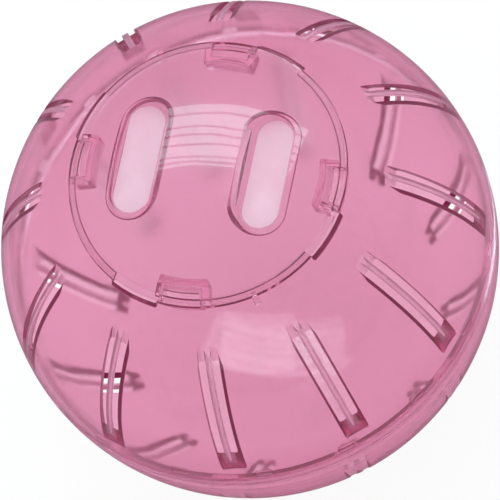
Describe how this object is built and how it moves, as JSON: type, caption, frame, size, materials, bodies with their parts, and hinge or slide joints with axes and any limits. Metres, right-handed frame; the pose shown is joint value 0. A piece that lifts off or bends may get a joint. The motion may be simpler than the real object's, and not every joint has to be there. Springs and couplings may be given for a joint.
{
  "type": "hamster ball",
  "caption": "Clear pink run-about ball for a hamster: two vented half shells pushed together, and a round bayonet door with finger pockets.",
  "frame": {"origin": "centre of the ball, on the parting plane between the halves", "axes": "+Z from the centre through the middle of the door; +X through a vent slot and through the middle of one of the notches for the door"},
  "size_m": [0.178, 0.178, 0.178],
  "materials": {
    "shell_plastic": "clear pink, moulded to a gloss",
    "door_plastic": "clear pink, moulded to a gloss"
  },
  "bodies": {
    "front_half": {"front_half": "shell_plastic"},
    "rear_half": {"rear_half": "shell_plastic"},
    "door": {"door": "door_plastic"}
  },
  "joints": [
    {"name": "halves_pull", "type": "slide", "parent": "rear_half", "child": "front_half", "axis": [0, 0, 1], "range_m": [0, 0.1]},
    {"name": "door_turn", "type": "hinge", "parent": "front_half", "child": "door", "pos_m": [0, 0, 0.08], "axis": [0, 0, 1], "range_deg": [-48, 19]}
  ]
}
